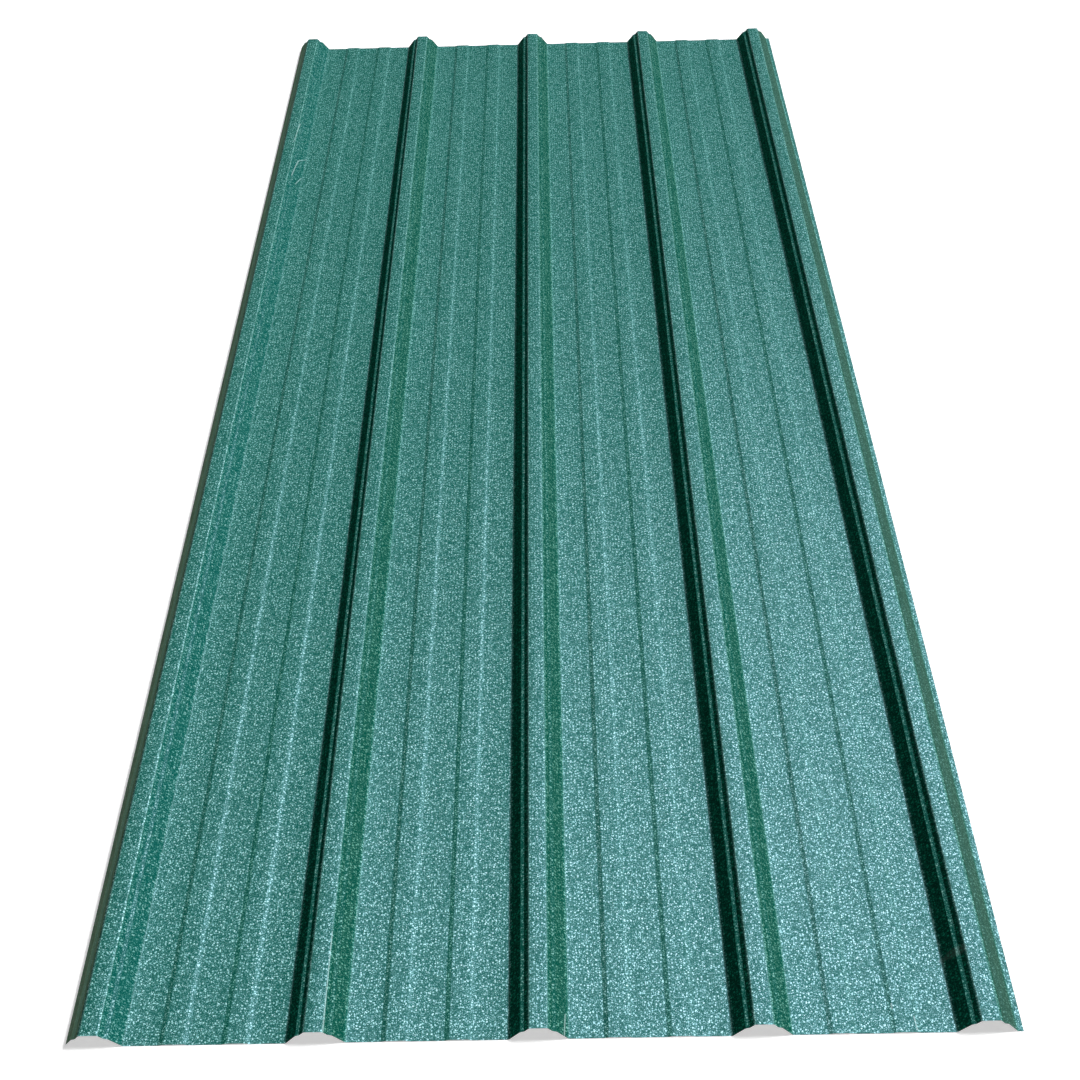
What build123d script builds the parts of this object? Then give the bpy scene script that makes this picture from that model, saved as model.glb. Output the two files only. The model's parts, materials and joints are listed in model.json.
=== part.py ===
"""Box-rib roofing sheet, rolled from one strip of painted steel.

Millimetres. The ribs run along Y, +Z is up, and the sheet lies with its pans on the plane z = 0.
The origin is under the middle of the sheet. Seen from -Y, the short leg is on the left.
"""
import os

from build123d import *

# The strip
sheet_length = 2440.0
sheet_thickness = 0.5

# The main ribs. Widths and heights are between sharp corners, on the middle line of the strip.
rib_count = 5
rib_pitch = 252.5
rib_height = 25.4
crown_width = 21.0
base_width = 68.0

# Each web has a small ledge. Its lower and upper corner, as shares of the web's run and rise from the foot.
ledge_run_shares = (0.57, 0.78)
ledge_rise_shares = (0.67, 0.74)

# The shallow stiffeners in each pan
stiffener_count = 2
stiffener_spacing = 71.5
stiffener_base = 33.0
stiffener_top = 22.0
stiffener_height = 1.5

# The side laps: a leg cut short above the pan on the left, a bearing lip on the right
short_leg_height = 6.0
bearing_lip = 6.5

# Inside radii of the bends
rib_bend = 2.5
ledge_bend = 2.0
stiffener_bend = 4.0


def web_corners():
    """Run and height of a web's corners, from its foot to the crown."""
    run = (base_width - crown_width) / 2
    corners = [(0, 0)]
    for run_share, rise_share in zip(ledge_run_shares, ledge_rise_shares):
        corners.append((run * run_share, rib_height * rise_share))
    corners.append((run, rib_height))
    return corners


def rib_corners(centre):
    """Corners and bend radii of one main rib, from its left foot to its right foot."""
    bends = [rib_bend, ledge_bend, ledge_bend, rib_bend]
    left = [((centre - base_width / 2 + run, height), bend)
            for (run, height), bend in zip(web_corners(), bends)]
    right = [((2 * centre - x, height), bend) for (x, height), bend in reversed(left)]
    return left + right


def stiffener_corners(centre):
    """Corners and bend radii of one shallow stiffener."""
    outline = [(-stiffener_base / 2, 0), (-stiffener_top / 2, stiffener_height),
               (stiffener_top / 2, stiffener_height), (stiffener_base / 2, 0)]
    return [((centre + x, height), stiffener_bend) for x, height in outline]


def section_corners():
    """All corners and bend radii across the sheet, from the short leg to the bearing lip."""
    first_rib = -rib_pitch * (rib_count - 1) / 2
    first_stiffener = -stiffener_spacing * (stiffener_count - 1) / 2
    corners = []
    for rib in range(rib_count):
        rib_centre = first_rib + rib * rib_pitch
        corners += rib_corners(rib_centre)
        if rib < rib_count - 1:
            pan_centre = rib_centre + rib_pitch / 2
            for stiffener in range(stiffener_count):
                corners += stiffener_corners(pan_centre + first_stiffener + stiffener * stiffener_spacing)

    (foot_x, foot_height), _ = corners[0]
    (ledge_x, ledge_height), _ = corners[1]
    cut_share = short_leg_height / ledge_height
    corners[0] = ((foot_x + cut_share * (ledge_x - foot_x), short_leg_height), rib_bend)
    (last_foot_x, _), _ = corners[-1]
    corners.append(((last_foot_x + bearing_lip, 0), rib_bend))
    return corners


def profiled_sheet():
    """The strip's middle line with its bends, given its thickness and drawn out along the ribs."""
    corners = section_corners()
    points = [point for point, _ in corners]
    bend_radii = [bend + sheet_thickness / 2 for _, bend in corners[1:-1]]
    middle_line = FilletPolyline(*points, radius=bend_radii)
    section = trace(middle_line, line_width=sheet_thickness)
    sheet = extrude(Plane.XZ * section, amount=sheet_length)
    box = sheet.bounding_box()
    return Pos(-box.center().X, -box.center().Y, -box.min.Z) * sheet


os.makedirs("parts", exist_ok=True)
export_step(profiled_sheet(), "parts/profiled_sheet.step")
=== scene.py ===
"""Looks of a box-rib roofing sheet: the rolled sheet with its textured paint, and a plain stage."""
import json
import math

import bmesh
import bpy
from bpy.props import FloatProperty, FloatVectorProperty, IntProperty, PointerProperty
from mathutils import Euler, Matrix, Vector


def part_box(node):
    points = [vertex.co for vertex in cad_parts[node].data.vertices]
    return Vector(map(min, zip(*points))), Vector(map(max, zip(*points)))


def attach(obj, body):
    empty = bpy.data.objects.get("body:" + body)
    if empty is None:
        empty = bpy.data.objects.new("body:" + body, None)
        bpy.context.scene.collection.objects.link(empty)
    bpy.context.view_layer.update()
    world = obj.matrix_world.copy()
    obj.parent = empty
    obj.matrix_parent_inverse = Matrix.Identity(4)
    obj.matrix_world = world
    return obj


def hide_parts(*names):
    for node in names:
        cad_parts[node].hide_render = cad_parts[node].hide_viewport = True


bl_info = {
    "name": "Box-rib roofing sheet",
    "version": (1, 0, 0),
    "blender": (4, 5, 0),
    "location": "View3D > Sidebar > Roofing",
    "description": "Rolls a painted box-rib roofing sheet and sets its stage",
    "category": "Mesh",
}

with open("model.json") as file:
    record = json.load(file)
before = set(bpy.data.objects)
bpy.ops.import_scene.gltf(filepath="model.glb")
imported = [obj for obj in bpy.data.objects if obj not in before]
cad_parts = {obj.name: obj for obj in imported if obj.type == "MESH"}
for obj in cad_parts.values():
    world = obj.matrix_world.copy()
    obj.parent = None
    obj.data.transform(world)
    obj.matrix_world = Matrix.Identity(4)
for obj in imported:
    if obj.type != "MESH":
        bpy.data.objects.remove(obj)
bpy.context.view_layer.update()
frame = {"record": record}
SHEET_LOW, SHEET_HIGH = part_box("profiled_sheet")
MOUNTS = {mount["name"]: Vector(mount["pos_m"]) for mount in frame["record"]["mounts"]}
FIRST_RIB = MOUNTS["overlap_crown_underside"].x
LAST_RIB = MOUNTS["underlap_crown_top"].x
SHEET_LENGTH = SHEET_HIGH.y - SHEET_LOW.y
PLACE_TOLERANCE = 1e-5

# Dots of the paint's grain: core and edge as shares of a cell, and the chances
# that leave a dot out and that make it full
FINE_DOTS = (0.15, 0.45, 0.15, 1.3)
MIDDLE_DOTS = (0.12, 0.36, 0.5, 0.9)
COARSE_DOTS = (0.12, 0.27, 0.3, 0.6)
CLUSTERS_PER_METRE = 125.0
THINNEST_CLUSTER = 0.6

# Levels of soft noise that count as none and full
NARROW_NOISE = (0.35, 0.65)
WIDE_NOISE = (0.3, 0.7)

# Distances from a bend, or from a rib's middle, between which the paint's zones change: the paler flats,
# partly painted light, and the olive outer webs
FLAT_EDGE = (0.001, 0.003)
OUTER_EDGE = (0.002, 0.004)
SIDE_EDGE = 0.002

# Widths of the bands that follow the ledges, the stiffeners' slopes and the bends, where light and shade
# are painted
LEDGE_BAND = 0.006
LEFT_SLOPE_BAND = 0.007
RIGHT_SLOPE_BAND = 0.005
# Painted highlights along the crown and foot bends
CROWN_HIGHLIGHT_BAND = 0.0024
FOOT_HIGHLIGHT_BAND = 0.0020

# Shares of dusty paint, painted light and painted shade, smears, scratches and gloss
PALE_PATCHES_PER_METRE = 4.0
LEAST_PALENESS = 0.85
# Painted light on the ledges, stronger on the left-hand webs
LEFT_LEDGE_PAINTED_LIGHT = 0.9
RIGHT_LEDGE_PAINTED_LIGHT = 0.4
# Painted shade on the stiffeners' left slopes
LEFT_SLOPE_PAINTED_SHADE = 0.6
# Painted light on the ledges' grains
LEDGE_GRAIN_PAINTED_LIGHT = 0.7
# Painted shade on the first rib's webs
FIRST_RIB_PAINTED_SHADE = 0.35
FIRST_RIB_GLOSS = 0.4
# Painted light reflected from the ground onto the first rib's outer leg
LEG_GROUND_LIGHT = 0.9
# Painted shade on that leg's ledge
LEG_LEDGE_PAINTED_SHADE = 0.8
# Share of the darker olive over the last rib's outer web
OUTER_WEB_OLIVE = 0.5
SMEAR_SHARE = 0.16
SCRATCH_SHARE = 0.35
# Painted highlights on the stiffeners' right slopes and along the bends, between and on the grains
RIGHT_SLOPE_HIGHLIGHT = 0.3
HIGHLIGHT_BETWEEN_GRAINS, HIGHLIGHT_ON_GRAINS = 0.08, 0.35
WEB_GLOSS = 0.10
GLOSS_BETWEEN_GRAINS, GLOSS_ON_GRAINS = 0.07, 0.62
FULL_GRAIN = 0.5

# The primer below and the cut edges
PRIMER_CLOUDS_PER_METRE = 9.0
PRIMER_SHADE = 0.8
PRIMER_ROUGHNESS = (0.42, 0.58)
BURRS_PER_METRE = 600.0
BURR_SHADE = 0.55
EDGE_METALLIC = 0.85
EDGE_ROUGHNESS = (0.35, 0.55)
SMOOTH_ANGLE = math.radians(35)

# Places of the colour mix node's sockets, whose names repeat for its other kinds
MIX_FACTOR, MIX_FIRST, MIX_SECOND, MIX_RESULT = 0, 6, 7, 2

# The stage
FLOOR_ROUGHNESS = 0.9
FLOOR_GAP = 0.0002
FLOOR_GLOW = 0.55
HORIZON_HEIGHT = 0.06
CEILING_LEVEL = 0.06

# Marks of handling on the paint: the (x, y) places of a stroke's two ends, and its width
SCRATCHES = (
    ((-0.498, 0.832), (-0.503, 0.753), 0.0018),
    ((-0.476, 0.725), (-0.488, 0.694), 0.0014),
    ((-0.488, 0.694), (-0.494, 0.632), 0.0022),
    ((-0.479, 0.644), (-0.485, 0.611), 0.0014),
    ((0.420, -1.201), (0.421, -1.217), 0.0020),
    ((0.397, -1.185), (0.397, -1.191), 0.0018),
    ((0.025, -1.193), (0.0235, -1.220), 0.0016),
    ((-0.2475, -1.094), (-0.2465, -1.220), 0.0013),
)
SMEARS = (
    ((0.465, -1.132), (0.475, -1.130), 0.008),
    ((0.475, -1.130), (0.485, -1.128), 0.014),
)


class SheetShape(bpy.types.PropertyGroup):
    """Section of the rolled sheet. Its overall size and the places of its ribs come from the frame."""

    thickness: FloatProperty(
        name="Thickness", description="Thickness of the coated strip",
        default=SHEET_HIGH.z - MOUNTS["overlap_crown_underside"].z, unit="LENGTH", precision=5)
    rib_count: IntProperty(
        name="Ribs", description="Number of main ribs", default=5, min=2)
    crown_width: FloatProperty(
        name="Crown width", description="Flat top of a rib, between sharp corners",
        default=0.021, unit="LENGTH", precision=4)
    bearing_lip: FloatProperty(
        name="Bearing lip", description="Flat lip beyond the last rib",
        default=0.0065, unit="LENGTH", precision=4)
    short_leg_height: FloatProperty(
        name="Short leg height", description="Height of the first rib's cut outer leg above the pan",
        default=0.006, unit="LENGTH", precision=4)
    ledge_low: FloatVectorProperty(
        name="Ledge, lower corner", description="Shares of the web's run and rise, from its foot",
        default=(0.57, 0.67), size=2)
    ledge_high: FloatVectorProperty(
        name="Ledge, upper corner", description="Shares of the web's run and rise, from its foot",
        default=(0.78, 0.74), size=2)
    stiffener_spacing: FloatProperty(
        name="Stiffener spacing", description="Distance between the two stiffeners of a pan",
        default=0.0715, unit="LENGTH", precision=4)
    stiffener_base: FloatProperty(
        name="Stiffener base", description="Width of a stiffener at pan level",
        default=0.033, unit="LENGTH", precision=4)
    stiffener_top: FloatProperty(
        name="Stiffener top", description="Width of a stiffener's flat top",
        default=0.022, unit="LENGTH", precision=4)
    stiffener_height: FloatProperty(
        name="Stiffener height", description="Rise of a stiffener above the pan",
        default=0.0015, unit="LENGTH", precision=4)
    rib_bend: FloatProperty(
        name="Rib bend", description="Inside radius at a rib's feet and crown",
        default=0.0025, unit="LENGTH", precision=4)
    ledge_bend: FloatProperty(
        name="Ledge bend", description="Inside radius at a web's ledge",
        default=0.002, unit="LENGTH", precision=4)
    stiffener_bend: FloatProperty(
        name="Stiffener bend", description="Inside radius at a stiffener",
        default=0.004, unit="LENGTH", precision=4)
    bend_segments: IntProperty(
        name="Bend segments", description="Faces round each bend", default=4, min=2)
    length_segments: IntProperty(
        name="Length segments", description="Faces along the sheet", default=60, min=1)
    wave_height: FloatProperty(
        name="Wave height", description="Largest rise of the slight waves in the rolled strip",
        default=0.0006, unit="LENGTH", precision=5)
    wave_size: FloatProperty(
        name="Wave size", description="Distance over which the strip waves",
        default=0.28, unit="LENGTH", precision=3)


class PaintFinish(bpy.types.PropertyGroup):
    """Colours and grain of the coats."""

    green: FloatVectorProperty(
        name="Green", description="Paint between the grains of the webs",
        default=(0.001, 0.071, 0.050), subtype="COLOR", size=3)
    # Paler than the webs' green, partly from dusty paint and partly as painted light
    dust_and_light_green: FloatVectorProperty(
        name="Dusty green", description="Paint between the grains of the pans and crowns",
        default=(0.003, 0.094, 0.070), subtype="COLOR", size=3)
    # Painted shade: a darker, bluer teal on the first rib's right-hand web, which faces the lamp
    painted_shade_teal: FloatVectorProperty(
        name="Deep teal", description="Shade of the paint on the first rib's right-hand web",
        default=(0.001, 0.070, 0.068), subtype="COLOR", size=3)
    # Painted shade: darker grains on the left-hand webs, which face away from the lamp
    painted_shade_grain: FloatVectorProperty(
        name="Clean grain", description="Green grains in the paint of the left-hand webs",
        default=(0.02, 0.45, 0.27), subtype="COLOR", size=3)
    grain: FloatVectorProperty(
        name="Grain", description="Pale grains in the paint of the right-hand webs",
        default=(0.15, 0.41, 0.33), subtype="COLOR", size=3)
    # Paler than the webs' grains, partly from dusty paint and partly as painted light
    dust_and_light_grain: FloatVectorProperty(
        name="Dusty grain", description="Rims of the pale grains in the paint of the pans and crowns",
        default=(0.11, 0.66, 0.57), subtype="COLOR", size=3)
    # Also the colour of the painted highlights along the bends and the stiffeners' right slopes
    grain_top_and_highlight: FloatVectorProperty(
        name="Grain top", description="Tops of the pale grains in the paint of the pans and crowns",
        default=(0.37, 0.70, 0.66), subtype="COLOR", size=3)
    # Painted light reflected from the ground onto the first rib's outer leg
    ground_light_olive: FloatVectorProperty(
        name="Dirt", description="Olive dirt on the first rib's outer leg",
        default=(0.14, 0.27, 0.155), subtype="COLOR", size=3)
    # Painted shade on the outer leg's ledge, and the darker olive of the last rib's outer web
    dark_olive: FloatVectorProperty(
        name="Grime", description="Darker dirt on the ledge of that leg and on the last rib's outer web",
        default=(0.057, 0.105, 0.079), subtype="COLOR", size=3)
    smear: FloatVectorProperty(
        name="Smear", description="Grey smear on the last rib",
        default=(0.34, 0.38, 0.36), subtype="COLOR", size=3)
    scratch: FloatVectorProperty(
        name="Scratch", description="Pale undercoat in the scratches",
        default=(0.62, 0.84, 0.84), subtype="COLOR", size=3)
    back_coat: FloatVectorProperty(
        name="Back coat", description="Thin primer on the underside",
        default=(0.30, 0.31, 0.30), subtype="COLOR", size=3)
    bare_steel: FloatVectorProperty(
        name="Bare steel", description="Zinc and steel on the cut edges",
        default=(0.36, 0.37, 0.38), subtype="COLOR", size=3)
    fine_spacing: FloatProperty(
        name="Fine grain spacing", description="Distance between the fine grains of the paint",
        default=0.0012, unit="LENGTH", precision=5)
    middle_spacing: FloatProperty(
        name="Middle grain spacing", description="Distance between the middle grains of the paint",
        default=0.0022, unit="LENGTH", precision=5)
    coarse_spacing: FloatProperty(
        name="Coarse grain spacing", description="Distance between the coarse grains of the paint",
        default=0.0045, unit="LENGTH", precision=5)
    grain_depth: FloatProperty(
        name="Grain depth", description="Height of the paint's grains",
        default=0.00004, unit="LENGTH", precision=6)
    roughness: FloatProperty(
        name="Roughness", description="Roughness of the matt paint", default=0.60, min=0.0, max=1.0)
    grain_roughness: FloatProperty(
        name="Grain roughness", description="Roughness of the glossy tops of the grains",
        default=0.40, min=0.0, max=1.0)


class StageSetup(bpy.types.PropertyGroup):
    """Camera, lamp and floor."""

    lens: FloatProperty(
        name="Lens", description="Focal length on a 36 mm square frame", default=48.97, unit="CAMERA")
    camera_place: FloatVectorProperty(
        name="Camera place", description="Where the camera stands",
        default=(0.0266, -2.0076, 1.5633), subtype="TRANSLATION", size=3)
    camera_down: FloatProperty(
        name="Looking down", description="Angle of the view below level",
        default=math.radians(44.479), subtype="ANGLE")
    camera_turn: FloatProperty(
        name="Turn", description="Turn of the view from +Y towards -X",
        default=math.radians(0.916), subtype="ANGLE")
    camera_roll: FloatProperty(
        name="Roll", description="Clockwise tilt of the camera",
        default=math.radians(1.832), subtype="ANGLE")
    lamp_direction: FloatVectorProperty(
        name="Lamp direction", description="Turn from +Y towards +X, and height, of the key lamp",
        default=(math.radians(80), math.radians(51)), subtype="EULER", size=2)
    lamp_spread: FloatProperty(
        name="Lamp spread", description="Width of the key lamp as seen from the sheet",
        default=math.radians(16), subtype="ANGLE")
    lamp_strength: FloatProperty(
        name="Lamp strength", description="Strength of the key lamp, in watts per square metre",
        default=3.90)
    panel_direction: FloatVectorProperty(
        name="Panel direction", description="Turn from +Y towards +X, and height, of the bright panel",
        default=(math.radians(59), math.radians(65)), subtype="EULER", size=2)
    panel_distance: FloatProperty(
        name="Panel distance", description="Distance of the bright panel from the sheet",
        default=12.0, unit="LENGTH")
    panel_size: FloatProperty(
        name="Panel size", description="Side of the bright panel that the paint's grains reflect",
        default=13.5, unit="LENGTH")
    panel_power: FloatProperty(
        name="Panel power", description="Radiant power of the bright panel, in watts", default=17300.0)
    panel_colour: FloatVectorProperty(
        name="Panel colour", description="Colour of the bright panel, a pale sky",
        default=(0.54, 0.77, 1.0), subtype="COLOR", size=3)
    ambient: FloatProperty(
        name="Ambient", description="Level light from all round", default=0.02)
    floor_tone: FloatProperty(
        name="Floor tone", description="Grey level of the floor", default=0.82, min=0.0, max=1.0)
    floor_size: FloatProperty(
        name="Floor size", description="Side of the floor", default=40.0, unit="LENGTH")


def deselect_everything():
    """Leave nothing selected, so that the next operator acts on its own piece alone."""
    if bpy.context.object and bpy.context.object.mode != "OBJECT":
        bpy.ops.object.mode_set(mode="OBJECT")
    bpy.ops.object.select_all(action="DESELECT")


def select_lengthwise_edges(piece, places):
    """In edit mode, select only the edges that run along Y at the given (x, z) places."""
    bpy.ops.mesh.select_all(action="DESELECT")
    bpy.ops.mesh.select_mode(type="EDGE")
    mesh = bmesh.from_edit_mesh(piece.data)
    for edge in mesh.edges:
        a, b = (vert.co for vert in edge.verts)
        if abs(a.y - b.y) < PLACE_TOLERANCE:
            continue
        edge.select = any(
            abs(a.x - x) < PLACE_TOLERANCE and abs(a.z - z) < PLACE_TOLERANCE for x, z in places)
    mesh.select_flush_mode()
    bmesh.update_edit_mesh(piece.data)


def apply_modifiers(piece):
    """Apply every modifier in order."""
    for modifier in list(piece.modifiers):
        bpy.ops.object.modifier_apply(modifier=modifier.name)


class Bend:
    """A corner of the section: its place on the strip's middle line and its bend radius there."""

    def __init__(self, x, z, radius):
        self.x = x
        self.z = z
        self.radius = radius


def rib_bends(shape, centre, pan_level, rib_height, base_width):
    """Bends of one main rib, from its left foot to its right foot."""
    run = (base_width - shape.crown_width) / 2
    shares = [(0.0, 0.0), tuple(shape.ledge_low), tuple(shape.ledge_high), (1.0, 1.0)]
    radii = [shape.rib_bend, shape.ledge_bend, shape.ledge_bend, shape.rib_bend]
    left = [Bend(centre - base_width / 2 + run * across, pan_level + rib_height * up, radius)
            for (across, up), radius in zip(shares, radii)]
    return left + [Bend(2 * centre - bend.x, bend.z, bend.radius) for bend in reversed(left)]


def stiffener_bends(shape, centre, pan_level):
    """Bends of one shallow stiffener."""
    outline = [(-shape.stiffener_base / 2, 0.0), (-shape.stiffener_top / 2, shape.stiffener_height),
               (shape.stiffener_top / 2, shape.stiffener_height), (shape.stiffener_base / 2, 0.0)]
    return [Bend(centre + x, pan_level + z, shape.stiffener_bend) for x, z in outline]


def section_bends(shape):
    """The whole section from the short leg to the bearing lip. Its two ends are cuts, not bends."""
    pan_level = SHEET_LOW.z + shape.thickness / 2
    rib_height = SHEET_HIGH.z - SHEET_LOW.z - shape.thickness
    base_width = 2 * (SHEET_HIGH.x - LAST_RIB - shape.bearing_lip)
    pitch = (LAST_RIB - FIRST_RIB) / (shape.rib_count - 1)
    bends = []
    for rib in range(shape.rib_count):
        centre = FIRST_RIB + rib * pitch
        bends += rib_bends(shape, centre, pan_level, rib_height, base_width)
        if rib < shape.rib_count - 1:
            for side in (-1, 1):
                middle = centre + pitch / 2 + side * shape.stiffener_spacing / 2
                bends += stiffener_bends(shape, middle, pan_level)
    foot, ledge = bends[0], bends[1]
    cut_share = shape.short_leg_height / (ledge.z - foot.z)
    foot.x += cut_share * (ledge.x - foot.x)
    foot.z += shape.short_leg_height
    bends.append(Bend(SHEET_HIGH.x, pan_level, 0.0))
    return bends


def extrude_through(piece, bends):
    """Draw the selected edge through the following places, one fold of the strip at a time."""
    here = bends[0]
    select_lengthwise_edges(piece, [(here.x, here.z)])
    for there in bends[1:]:
        step = (there.x - here.x, 0.0, there.z - here.z)
        bpy.ops.mesh.extrude_region_move(TRANSFORM_OT_translate={"value": step})
        here = there


def round_bends(piece, bends, shape):
    """Bevel every fold to its radius. Folds of the same angle and radius are bevelled together."""
    groups = {}
    for before, bend, after in zip(bends, bends[1:], bends[2:]):
        turn = abs(math.atan2(after.z - bend.z, after.x - bend.x)
                   - math.atan2(bend.z - before.z, bend.x - before.x))
        setback = (bend.radius + shape.thickness / 2) * math.tan(turn / 2)
        groups.setdefault(round(setback, 6), []).append((bend.x, bend.z))
    for setback, places in groups.items():
        select_lengthwise_edges(piece, places)
        bpy.ops.mesh.bevel(offset=setback, offset_type="OFFSET", segments=shape.bend_segments,
                           affect="EDGES", profile=0.5, clamp_overlap=True)


def wave_strip(piece, shape):
    """Give the flat strip the slight waves that rolling and handling leave."""
    clouds = bpy.data.textures.new("strip_waves", "CLOUDS")
    clouds.noise_scale = shape.wave_size
    clouds.noise_depth = 1
    waves = piece.modifiers.new("strip waves", "DISPLACE")
    waves.texture = clouds
    waves.texture_coords = "LOCAL"
    waves.direction = "Z"
    waves.mid_level = 0.0
    waves.strength = shape.wave_height


def roll_sheet(shape):
    """Model the sheet from the crown of its first rib outwards, then round its bends and thicken it."""
    bends = section_bends(shape)
    crown = next(i for i in range(len(bends)) if abs(bends[i].z - bends[i + 1].z) < PLACE_TOLERANCE)
    deselect_everything()
    bpy.ops.mesh.primitive_grid_add(x_subdivisions=1, y_subdivisions=shape.length_segments, size=1.0,
                                    enter_editmode=True, location=(0.0, 0.0, 0.0))
    piece = bpy.context.object
    piece.name = "rolled_sheet"
    piece.data.name = "rolled_sheet"
    middle_y = (SHEET_LOW.y + SHEET_HIGH.y) / 2
    bpy.ops.transform.resize(value=(shape.crown_width, SHEET_LENGTH, 1.0))
    bpy.ops.transform.translate(value=(FIRST_RIB, middle_y, bends[crown].z))
    extrude_through(piece, bends[crown::-1])
    extrude_through(piece, bends[crown + 1:])
    round_bends(piece, bends, shape)
    bpy.ops.mesh.select_all(action="SELECT")
    bpy.ops.mesh.normals_make_consistent(inside=False)
    mesh = bmesh.from_edit_mesh(piece.data)
    if sum(face.normal.z * face.calc_area() for face in mesh.faces) < 0:
        bpy.ops.mesh.flip_normals()
    bpy.ops.object.mode_set(mode="OBJECT")
    wave_strip(piece, shape)
    wall = piece.modifiers.new("strip thickness", "SOLIDIFY")
    wall.thickness = shape.thickness
    wall.offset = 0.0
    wall.use_even_offset = True
    wall.material_offset = 1
    wall.material_offset_rim = 2
    return piece


def new_node(tree, kind, **settings):
    """Add a shader node with some of its settings."""
    node = tree.nodes.new(kind)
    for name, value in settings.items():
        setattr(node, name, value)
    return node


def feed(tree, node, **inputs):
    """Set a node's inputs by name: a socket is linked, anything else is its value."""
    for name, value in inputs.items():
        socket = node.inputs[name.replace("_", " ")]
        if isinstance(value, bpy.types.NodeSocket):
            tree.links.new(value, socket)
        else:
            socket.default_value = value
    return node


def empty_material(name):
    """A material with only its output and shader."""
    material = bpy.data.materials.new(name)
    material.use_nodes = True
    tree = material.node_tree
    return material, tree, tree.nodes["Principled BSDF"]


def mix_colour(tree, factor, first, second):
    """A colour that goes from first to second with factor."""
    mix = new_node(tree, "ShaderNodeMix", data_type="RGBA")
    tree.links.new(factor, mix.inputs[MIX_FACTOR])
    for place, colour in ((MIX_FIRST, first), (MIX_SECOND, second)):
        if isinstance(colour, bpy.types.NodeSocket):
            tree.links.new(colour, mix.inputs[place])
        else:
            mix.inputs[place].default_value = (*colour, 1.0)
    return mix.outputs[MIX_RESULT]


def ramp(tree, value, low, high, start=0.0, end=1.0, smooth=True):
    """Map value from low..high to start..end."""
    node = new_node(tree, "ShaderNodeMapRange", interpolation_type="SMOOTHSTEP" if smooth else "LINEAR")
    for index, setting in enumerate((value, low, high, start, end)):
        if isinstance(setting, bpy.types.NodeSocket):
            tree.links.new(setting, node.inputs[index])
        else:
            node.inputs[index].default_value = setting
    return node.outputs[0]


def noise(tree, place, scale, detail):
    """Soft noise of one size."""
    node = new_node(tree, "ShaderNodeTexNoise")
    return feed(tree, node, Vector=place, Scale=scale, Detail=detail).outputs[0]


def combine(tree, operation, first, second):
    """One value from two, kept between 0 and 1."""
    node = new_node(tree, "ShaderNodeMath", operation=operation, use_clamp=True)
    tree.links.new(first, node.inputs[0])
    tree.links.new(second, node.inputs[1])
    return node.outputs[0]


def grain_layer(tree, place, spacing, dots):
    """Round grains, one to a cell, seen from above."""
    core, edge, rare, full = dots
    cells = new_node(tree, "ShaderNodeTexVoronoi", voronoi_dimensions="2D")
    feed(tree, cells, Vector=place, Scale=1 / spacing)
    chance = new_node(tree, "ShaderNodeSeparateColor")
    tree.links.new(cells.outputs["Color"], chance.inputs[0])
    shape = ramp(tree, cells.outputs["Distance"], core, edge, 1.0, 0.0)
    return combine(tree, "MULTIPLY", shape, ramp(tree, chance.outputs[0], rare, full, smooth=False))


def constant(tree, operation, value, *numbers):
    """One value from a socket and one or two numbers."""
    node = new_node(tree, "ShaderNodeMath", operation=operation)
    tree.links.new(value, node.inputs[0])
    for socket, number in zip(node.inputs[1:], numbers):
        socket.default_value = number
    return node.outputs[0]


def share(tree, value, number):
    """A value times a number."""
    return constant(tree, "MULTIPLY", value, number)


def blend(tree, zone, off, on):
    """A number that goes evenly from off to on while zone goes from 0 to 1."""
    return ramp(tree, zone, 0.0, 1.0, off, on, smooth=False)


def stroke(tree, place, start, end, width):
    """1 on a straight stroke between two (x, y) places, seen from above, and 0 off it."""
    start = Vector((*start, 0.0))
    along = Vector((*end, 0.0)) - start
    from_start = new_node(tree, "ShaderNodeVectorMath", operation="SUBTRACT")
    tree.links.new(place, from_start.inputs[0])
    from_start.inputs[1].default_value = start
    part_way = new_node(tree, "ShaderNodeVectorMath", operation="DOT_PRODUCT")
    tree.links.new(from_start.outputs[0], part_way.inputs[0])
    part_way.inputs[1].default_value = along / along.length_squared
    nearest = new_node(tree, "ShaderNodeVectorMath", operation="SCALE")
    nearest.inputs[0].default_value = along
    tree.links.new(blend(tree, part_way.outputs["Value"], 0.0, 1.0), nearest.inputs["Scale"])
    gap = new_node(tree, "ShaderNodeVectorMath", operation="DISTANCE")
    tree.links.new(from_start.outputs[0], gap.inputs[0])
    tree.links.new(nearest.outputs[0], gap.inputs[1])
    return ramp(tree, gap.outputs["Value"], width / 4, width / 2, 1.0, 0.0)


def strokes(tree, place, marks):
    """1 on any of the strokes."""
    total = stroke(tree, place, *marks[0])
    for mark in marks[1:]:
        total = combine(tree, "MAXIMUM", total, stroke(tree, place, *mark))
    return total


def band(tree, value, middle, width):
    """1 where value is near middle, 0 elsewhere."""
    gap = constant(tree, "ABSOLUTE", constant(tree, "SUBTRACT", value, middle))
    return ramp(tree, gap, width / 4, width / 2, 1.0, 0.0)


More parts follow.
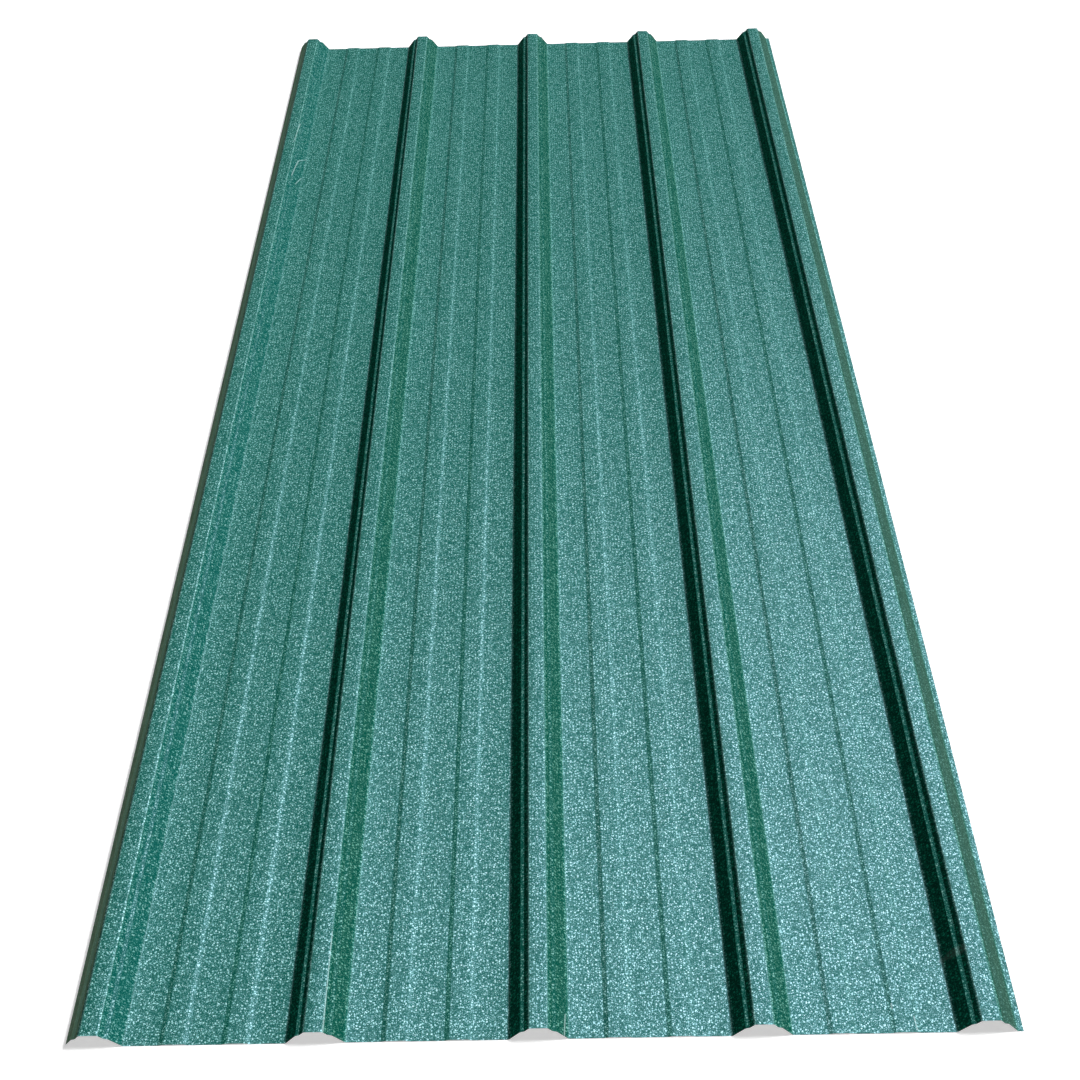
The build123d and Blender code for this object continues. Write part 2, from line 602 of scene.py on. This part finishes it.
class SectionZones:
    """Values that are 1 on one zone of the section and 0 off it, from the distance across the sheet."""

    def __init__(self, tree, place, shape):
        split = new_node(tree, "ShaderNodeSeparateXYZ")
        tree.links.new(place, split.inputs[0])
        across = split.outputs["X"]
        crown = shape.crown_width / 2
        foot = SHEET_HIGH.x - LAST_RIB - shape.bearing_lip
        half_pitch = (LAST_RIB - FIRST_RIB) / (shape.rib_count - 1) / 2
        from_first = constant(tree, "SUBTRACT", across, FIRST_RIB)
        rib_side = constant(tree, "WRAP", from_first, half_pitch, -half_pitch)
        off_crown = constant(tree, "ABSOLUTE", rib_side)
        near, far = FLAT_EDGE
        self.on_crown = ramp(tree, off_crown, crown + near, crown + far, 1.0, 0.0)
        self.on_pan = ramp(tree, off_crown, foot - far, foot - near)
        self.on_flats = combine(tree, "ADD", self.on_crown, self.on_pan)
        self.right_side = ramp(tree, rib_side, -SIDE_EDGE, SIDE_EDGE)
        self.on_first_rib = ramp(tree, across, FIRST_RIB + foot, FIRST_RIB + foot + near, 1.0, 0.0)
        near, far = OUTER_EDGE
        self.outer_leg = ramp(tree, across, FIRST_RIB - crown - far, FIRST_RIB - crown - near, 1.0, 0.0)
        self.beyond_last_crown = ramp(tree, across, LAST_RIB + crown + near, LAST_RIB + crown + far)
        ledge_share = (shape.ledge_low[0] + shape.ledge_high[0]) / 2
        self.ledge = band(tree, off_crown, foot - (foot - crown) * ledge_share, LEDGE_BAND)
        self.crown_edge = band(tree, off_crown, crown, CROWN_HIGHLIGHT_BAND)
        self.foot_edge = band(tree, off_crown, foot, FOOT_HIGHLIGHT_BAND)
        middle = half_pitch - shape.stiffener_spacing / 2
        slope = (shape.stiffener_base + shape.stiffener_top) / 4
        self.left_slopes = combine(tree, "ADD", band(tree, rib_side, middle - slope, LEFT_SLOPE_BAND),
                                   band(tree, rib_side, -middle - slope, LEFT_SLOPE_BAND))
        self.right_slopes = combine(tree, "ADD", band(tree, rib_side, middle + slope, RIGHT_SLOPE_BAND),
                                    band(tree, rib_side, slope - middle, RIGHT_SLOPE_BAND))


def grain_pattern(tree, place, finish):
    """Three sizes of grain on top of each other, thinner and thicker in small clusters."""
    fine = grain_layer(tree, place, finish.fine_spacing, FINE_DOTS)
    middle = grain_layer(tree, place, finish.middle_spacing, MIDDLE_DOTS)
    coarse = grain_layer(tree, place, finish.coarse_spacing, COARSE_DOTS)
    grains = combine(tree, "ADD", combine(tree, "ADD", fine, middle), coarse)
    clusters = noise(tree, place, CLUSTERS_PER_METRE, detail=1.0)
    return combine(tree, "MULTIPLY", grains, ramp(tree, clusters, *WIDE_NOISE, THINNEST_CLUSTER, 1.0))


def speckled_green(tree, place, finish, zones, grains):
    """Green with pale grains. Pans, crowns and ledges are paler, partly from dusty paint and partly as
    painted light; the left-hand webs and the stiffeners' left slopes are darker as painted shade, and the
    first rib's webs have painted shade.
    """
    # The pans, crowns and first rib take the paler colours: partly dusty paint, partly painted light
    pale = combine(tree, "MAXIMUM", zones.on_flats, zones.on_first_rib)
    # Painted light: the ledges are paler, most of all on the left-hand webs
    ledge_painted_light = blend(tree, zones.right_side, LEFT_LEDGE_PAINTED_LIGHT, RIGHT_LEDGE_PAINTED_LIGHT)
    pale = combine(tree, "MAXIMUM", pale, combine(tree, "MULTIPLY", zones.ledge, ledge_painted_light))
    # Painted shade: the stiffeners' left slopes are darker
    pale = combine(tree, "MULTIPLY", pale, blend(tree, zones.left_slopes, 1.0, LEFT_SLOPE_PAINTED_SHADE))
    patches = noise(tree, place, PALE_PATCHES_PER_METRE, detail=3.0)
    dust_and_painted_light = combine(tree, "MULTIPLY", pale, ramp(tree, patches, *NARROW_NOISE, LEAST_PALENESS, 1.0))
    green = mix_colour(tree, dust_and_painted_light, finish.green, finish.dust_and_light_green)
    # Painted shade: the left-hand webs keep the darker grains; the right-hand webs and the ledges take the
    # pale ones
    lit_web_share = combine(tree, "MAXIMUM", zones.right_side, share(tree, zones.ledge, LEDGE_GRAIN_PAINTED_LIGHT))
    web_grain = mix_colour(tree, lit_web_share, finish.painted_shade_grain, finish.grain)
    pale_grain = mix_colour(tree, grains, finish.dust_and_light_grain, finish.grain_top_and_highlight)
    colour = mix_colour(tree, grains, green, mix_colour(tree, pale, web_grain, pale_grain))
    # Painted shade on the first rib's webs and outer leg, not on its crown
    shade_off_crown = blend(tree, zones.on_crown, FIRST_RIB_PAINTED_SHADE, 0.0)
    first_rib_painted_shade = combine(tree, "MULTIPLY", zones.on_first_rib, shade_off_crown)
    return mix_colour(tree, first_rib_painted_shade, colour, finish.painted_shade_teal)


def tint_outer_webs(tree, finish, zones, colour):
    """Olive painted light from the ground on the first rib's outer leg, with painted shade on its ledge,
    and a darker olive over the last rib's outer web.
    """
    # Painted shade on the ledge of the first rib's outer leg
    leg_light_and_shade = mix_colour(tree, share(tree, zones.ledge, LEG_LEDGE_PAINTED_SHADE), finish.ground_light_olive, finish.dark_olive)
    # Painted light: olive light from the ground on the first rib's outer leg
    colour = mix_colour(tree, share(tree, zones.outer_leg, LEG_GROUND_LIGHT), colour, leg_light_and_shade)
    # A darker olive over the last rib's outer web
    outer_web = share(tree, zones.beyond_last_crown, OUTER_WEB_OLIVE)
    outer_web = combine(tree, "MULTIPLY", outer_web, blend(tree, zones.on_pan, 1.0, 0.0))
    return mix_colour(tree, outer_web, colour, finish.dark_olive)


def handle(tree, place, finish, colour):
    """The smears and scratches, seen from above."""
    flat = new_node(tree, "ShaderNodeVectorMath", operation="MULTIPLY")
    tree.links.new(place, flat.inputs[0])
    flat.inputs[1].default_value = (1.0, 1.0, 0.0)
    smeared = share(tree, strokes(tree, flat.outputs[0], SMEARS), SMEAR_SHARE)
    colour = mix_colour(tree, smeared, colour, finish.smear)
    scratched = share(tree, strokes(tree, flat.outputs[0], SCRATCHES), SCRATCH_SHARE)
    return mix_colour(tree, scratched, colour, finish.scratch)


def textured_paint(finish, shape):
    """Matt green paint full of fine pale grains, glossier on the pans and crowns, with painted highlights
    along the bends and the stiffeners' right slopes.
    """
    material, tree, shader = empty_material("textured_green_paint")
    place = new_node(tree, "ShaderNodeTexCoord").outputs["Object"]
    zones = SectionZones(tree, place, shape)
    grains = grain_pattern(tree, place, finish)
    colour = speckled_green(tree, place, finish, zones, grains)
    colour = tint_outer_webs(tree, finish, zones, colour)
    colour = handle(tree, place, finish, colour)

    # Painted highlights: pale lines along the crown and foot bends and on the stiffeners' right slopes, in
    # the colour and in the gloss
    painted_highlight = combine(tree, "ADD", zones.crown_edge, zones.foot_edge)
    painted_highlight = combine(tree, "ADD", painted_highlight, share(tree, zones.right_slopes, RIGHT_SLOPE_HIGHLIGHT))
    painted_highlight = combine(tree, "MULTIPLY", painted_highlight, ramp(
        tree, grains, 0.0, FULL_GRAIN, HIGHLIGHT_BETWEEN_GRAINS, HIGHLIGHT_ON_GRAINS, smooth=False))
    colour = mix_colour(tree, painted_highlight, colour, finish.grain_top_and_highlight)

    glossy = combine(tree, "MAXIMUM", zones.on_flats, share(tree, zones.on_first_rib, FIRST_RIB_GLOSS))
    gloss = combine(tree, "MULTIPLY", blend(tree, glossy, WEB_GLOSS, 1.0), ramp(
        tree, grains, 0.0, FULL_GRAIN, GLOSS_BETWEEN_GRAINS, GLOSS_ON_GRAINS, smooth=False))
    gloss = combine(tree, "MAXIMUM", gloss, painted_highlight)
    bump = new_node(tree, "ShaderNodeBump")
    feed(tree, bump, Height=grains, Distance=finish.grain_depth, Strength=1.0)
    feed(tree, shader, Base_Color=colour, Normal=bump.outputs[0], Roughness=finish.roughness,
         Specular_IOR_Level=0.0, Coat_Weight=gloss, Coat_Roughness=finish.grain_roughness)
    return material


def primer_back(finish):
    """Thin grey primer on the underside, a little uneven."""
    material, tree, shader = empty_material("grey_back_coat")
    place = new_node(tree, "ShaderNodeTexCoord").outputs["Object"]
    clouds = noise(tree, place, PRIMER_CLOUDS_PER_METRE, detail=4.0)
    darker = tuple(PRIMER_SHADE * level for level in finish.back_coat)
    colour = mix_colour(tree, ramp(tree, clouds, *NARROW_NOISE), darker, finish.back_coat)
    feed(tree, shader, Base_Color=colour, Roughness=ramp(tree, clouds, *WIDE_NOISE, *PRIMER_ROUGHNESS))
    return material


def cut_edge(finish):
    """Bare zinc and steel where the strip was cut."""
    material, tree, shader = empty_material("bare_cut_edge")
    place = new_node(tree, "ShaderNodeTexCoord").outputs["Object"]
    burr = noise(tree, place, BURRS_PER_METRE, detail=3.0)
    darker = tuple(BURR_SHADE * level for level in finish.bare_steel)
    colour = mix_colour(tree, ramp(tree, burr, *NARROW_NOISE), darker, finish.bare_steel)
    feed(tree, shader, Base_Color=colour, Metallic=EDGE_METALLIC,
         Roughness=ramp(tree, burr, *WIDE_NOISE, *EDGE_ROUGHNESS))
    return material


class ROOFING_OT_roll_sheet(bpy.types.Operator):
    """Model the rolled sheet and give it its coats"""

    bl_idname = "roofing.roll_sheet"
    bl_label = "Roll the sheet"

    def execute(self, context):
        shape = context.scene.roofing_shape
        finish = context.scene.roofing_finish
        piece = roll_sheet(shape)
        for material in (textured_paint(finish, shape), primer_back(finish), cut_edge(finish)):
            piece.data.materials.append(material)
        apply_modifiers(piece)
        bpy.ops.object.shade_smooth_by_angle(angle=SMOOTH_ANGLE)
        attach(piece, "root")
        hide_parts("profiled_sheet")
        return {"FINISHED"}


def white_for_viewers(tree):
    """1 for rays that show the background itself or its reflection, 0 for rays that light the object."""
    light_path = new_node(tree, "ShaderNodeLightPath")
    total = light_path.outputs["Is Camera Ray"]
    for ray in ("Is Glossy Ray", "Is Transmission Ray"):
        total = combine(tree, "MAXIMUM", total, light_path.outputs[ray])
    return total


def lay_floor(stage):
    """A plain pale floor, white to the viewer, that keeps the shadow."""
    deselect_everything()
    bpy.ops.mesh.primitive_plane_add(size=stage.floor_size, location=(0.0, 0.0, SHEET_LOW.z - FLOOR_GAP))
    floor = bpy.context.object
    floor.name = "floor"
    material, tree, shader = empty_material("pale_floor")
    tone = (stage.floor_tone,) * 3
    glow = share(tree, white_for_viewers(tree), FLOOR_GLOW)
    feed(tree, shader, Base_Color=(*tone, 1.0), Roughness=FLOOR_ROUGHNESS, Specular_IOR_Level=0.0,
         Emission_Color=(1.0, 1.0, 1.0, 1.0), Emission_Strength=glow)
    floor.data.materials.append(material)


def towards(direction):
    """The way to a lamp, from its turn and height."""
    turn, height = direction
    return Vector((math.sin(turn) * math.cos(height), math.cos(turn) * math.cos(height), math.sin(height)))


def hang_lamp(name, kind, direction, distance, power):
    """A lamp at a direction and distance from the sheet's middle, aimed at it and unseen by the camera."""
    place = distance * towards(direction)
    bpy.ops.object.light_add(type=kind, location=place)
    lamp = bpy.context.object
    lamp.name = name
    lamp.data.energy = power
    lamp.rotation_euler = (-place).to_track_quat("-Z", "Y").to_euler()
    lamp.visible_camera = False
    return lamp


def light_world(scene, stage):
    """White to the camera, a white horizon under a dim ceiling in reflections, and a low level light."""
    world = bpy.data.worlds.new("studio")
    scene.world = world
    world.use_nodes = True
    tree = world.node_tree
    background = tree.nodes["Background"]
    background.inputs["Color"].default_value = (1.0, 1.0, 1.0, 1.0)
    direction = new_node(tree, "ShaderNodeSeparateXYZ")
    tree.links.new(new_node(tree, "ShaderNodeTexCoord").outputs["Generated"], direction.inputs[0])
    reflected = ramp(tree, direction.outputs["Z"], 0.0, HORIZON_HEIGHT, 1.0, CEILING_LEVEL)
    rays = new_node(tree, "ShaderNodeLightPath")
    lit = blend(tree, white_for_viewers(tree), stage.ambient, reflected)
    seen = blend(tree, rays.outputs["Is Camera Ray"], lit, 1.0)
    tree.links.new(seen, background.inputs["Strength"])


def set_camera(scene, stage):
    """The camera at the photograph's angle."""
    bpy.ops.object.camera_add(location=stage.camera_place)
    camera = bpy.context.object
    camera.name = "camera"
    camera.data.sensor_fit = "HORIZONTAL"
    camera.data.sensor_width = 36.0
    camera.data.lens = stage.lens
    turn = Euler((math.pi / 2 - stage.camera_down, 0.0, stage.camera_turn)).to_matrix()
    roll = Euler((0.0, 0.0, -stage.camera_roll)).to_matrix()
    camera.rotation_euler = (turn @ roll).to_euler()
    scene.camera = camera


class ROOFING_OT_set_stage(bpy.types.Operator):
    """Lay the floor and set the lamp, the surroundings and the camera"""

    bl_idname = "roofing.set_stage"
    bl_label = "Set the stage"

    def execute(self, context):
        scene = context.scene
        stage = scene.roofing_stage
        lay_floor(stage)
        key = hang_lamp("key_lamp", "SUN", stage.lamp_direction, stage.panel_distance, stage.lamp_strength)
        key.data.angle = stage.lamp_spread
        key.visible_glossy = False
        panel = hang_lamp("bright_panel", "AREA", stage.panel_direction, stage.panel_distance,
                          stage.panel_power)
        panel.data.shape = "SQUARE"
        panel.data.size = stage.panel_size
        panel.data.color = stage.panel_colour
        panel.visible_diffuse = False
        light_world(scene, stage)
        set_camera(scene, stage)
        scene.view_settings.view_transform = "Standard"
        return {"FINISHED"}


class ROOFING_PT_panel(bpy.types.Panel):
    """Sidebar list of the sheet's steps"""

    bl_label = "Roofing sheet"
    bl_space_type = "VIEW_3D"
    bl_region_type = "UI"
    bl_category = "Roofing"

    def draw(self, context):
        for operator in (ROOFING_OT_roll_sheet, ROOFING_OT_set_stage):
            self.layout.operator(operator.bl_idname)


CLASSES = (SheetShape, PaintFinish, StageSetup,
           ROOFING_OT_roll_sheet, ROOFING_OT_set_stage, ROOFING_PT_panel)
SCENE_GROUPS = {"roofing_shape": SheetShape, "roofing_finish": PaintFinish, "roofing_stage": StageSetup}


def register():
    """Register the classes and keep their settings on the scene."""
    for cls in CLASSES:
        bpy.utils.register_class(cls)
    for name, group in SCENE_GROUPS.items():
        setattr(bpy.types.Scene, name, PointerProperty(type=group))


def unregister():
    """Undo register."""
    for name in SCENE_GROUPS:
        delattr(bpy.types.Scene, name)
    for cls in reversed(CLASSES):
        bpy.utils.unregister_class(cls)


def main():
    """Build the piece and its stage."""
    register()
    bpy.ops.roofing.roll_sheet()
    bpy.ops.roofing.set_stage()


if __name__ == "__main__":
    main()
